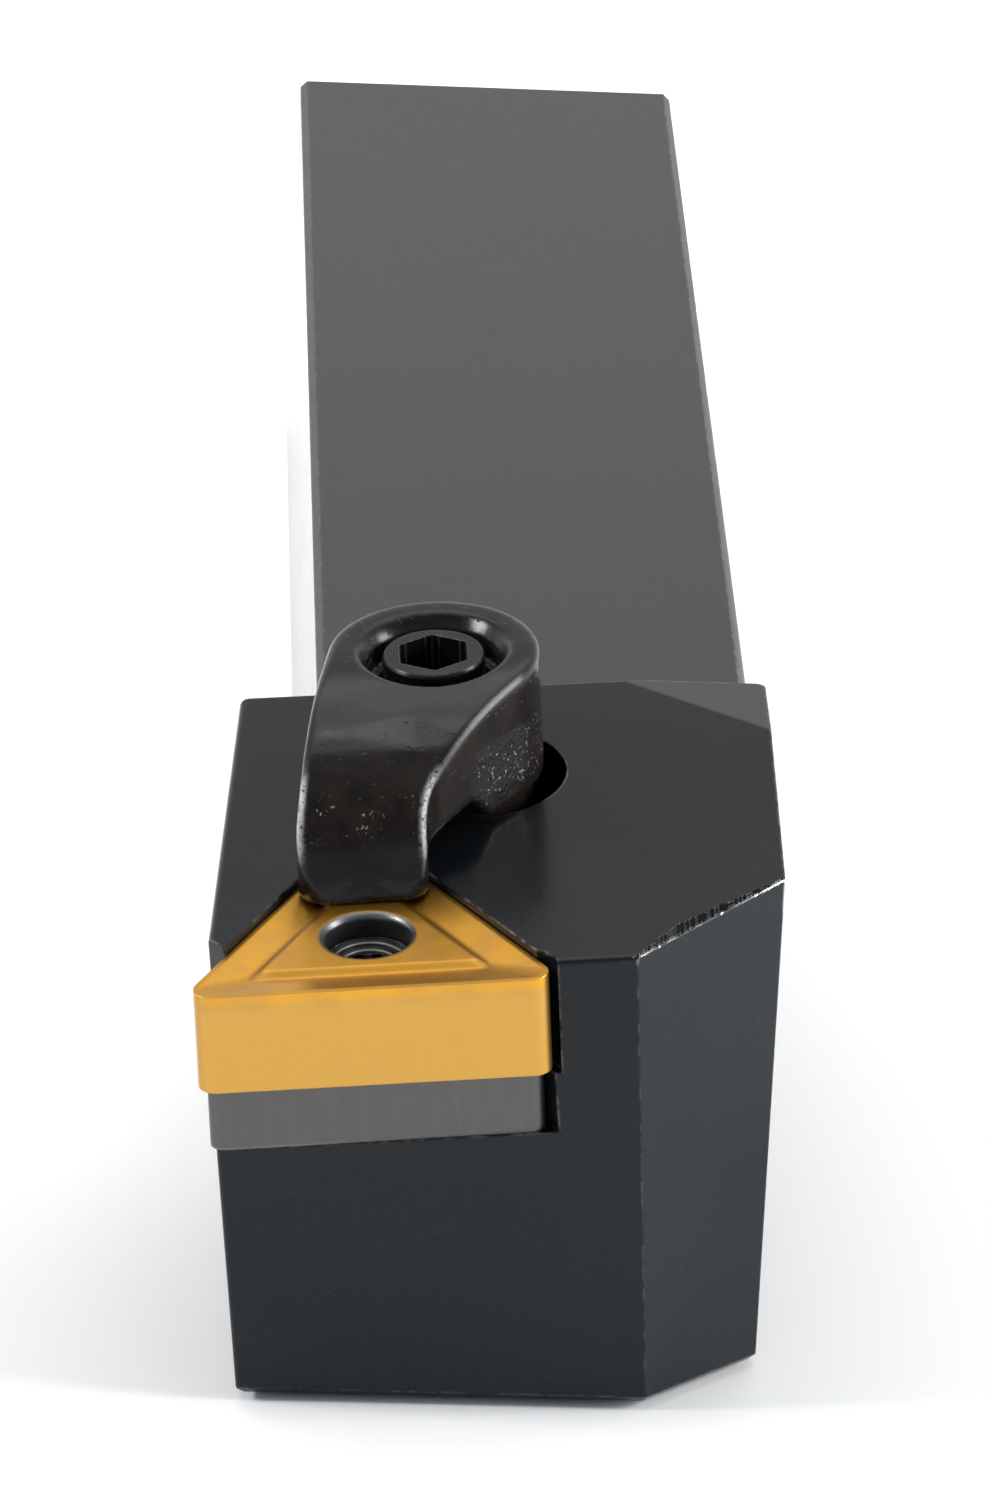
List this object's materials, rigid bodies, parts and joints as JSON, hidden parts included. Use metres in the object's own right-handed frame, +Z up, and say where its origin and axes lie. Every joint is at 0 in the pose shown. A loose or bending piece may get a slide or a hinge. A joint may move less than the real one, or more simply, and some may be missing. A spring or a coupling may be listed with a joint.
{
  "type": "turning tool holder",
  "caption": "Square-shank facing tool holder with an offset head, a coated triangular insert on a shim, a lock pin and a screw-down top clamp.",
  "frame": {"origin": "on the rest face under the shank's centre line, where the shank meets the head", "axes": "+Y back along the shank, +Z up, the cutting tip on the -X side at the -Y end"},
  "size_m": [0.0257, 0.125, 0.03],
  "materials": {
    "black_oxide_steel": "satin black oxide on ground and milled steel",
    "coated_carbide": "gold coloured hard coating on sintered carbide",
    "bare_carbide": "dull grey ground carbide",
    "hardened_steel": "dark oiled steel",
    "cast_clamp_steel": "semi-gloss brown-black forged steel, slightly pitted"
  },
  "bodies": {
    "holder": {"holder_body": "black_oxide_steel", "insert": "coated_carbide", "shim": "bare_carbide", "lock_pin": "hardened_steel"},
    "clamp": {"clamp": "cast_clamp_steel"},
    "clamp_screw": {"clamp_screw": "hardened_steel"}
  },
  "joints": [
    {"name": "screw_turn", "type": "hinge", "parent": "holder", "child": "clamp_screw", "pos_m": [-0.00485, -0.00819, 0.02274], "axis": [-0.0867, -0.1041, 0.9908], "range_deg": [0, 720]},
    {"name": "clamp_lift", "type": "slide", "parent": "holder", "child": "clamp", "axis": [-0.0867, -0.1041, 0.9908], "range_m": [0, 0.0032]}
  ],
  "couplings": [
    {"joint": "screw_turn", "follows": "clamp_lift", "rad_per_m": 3927}
  ]
}
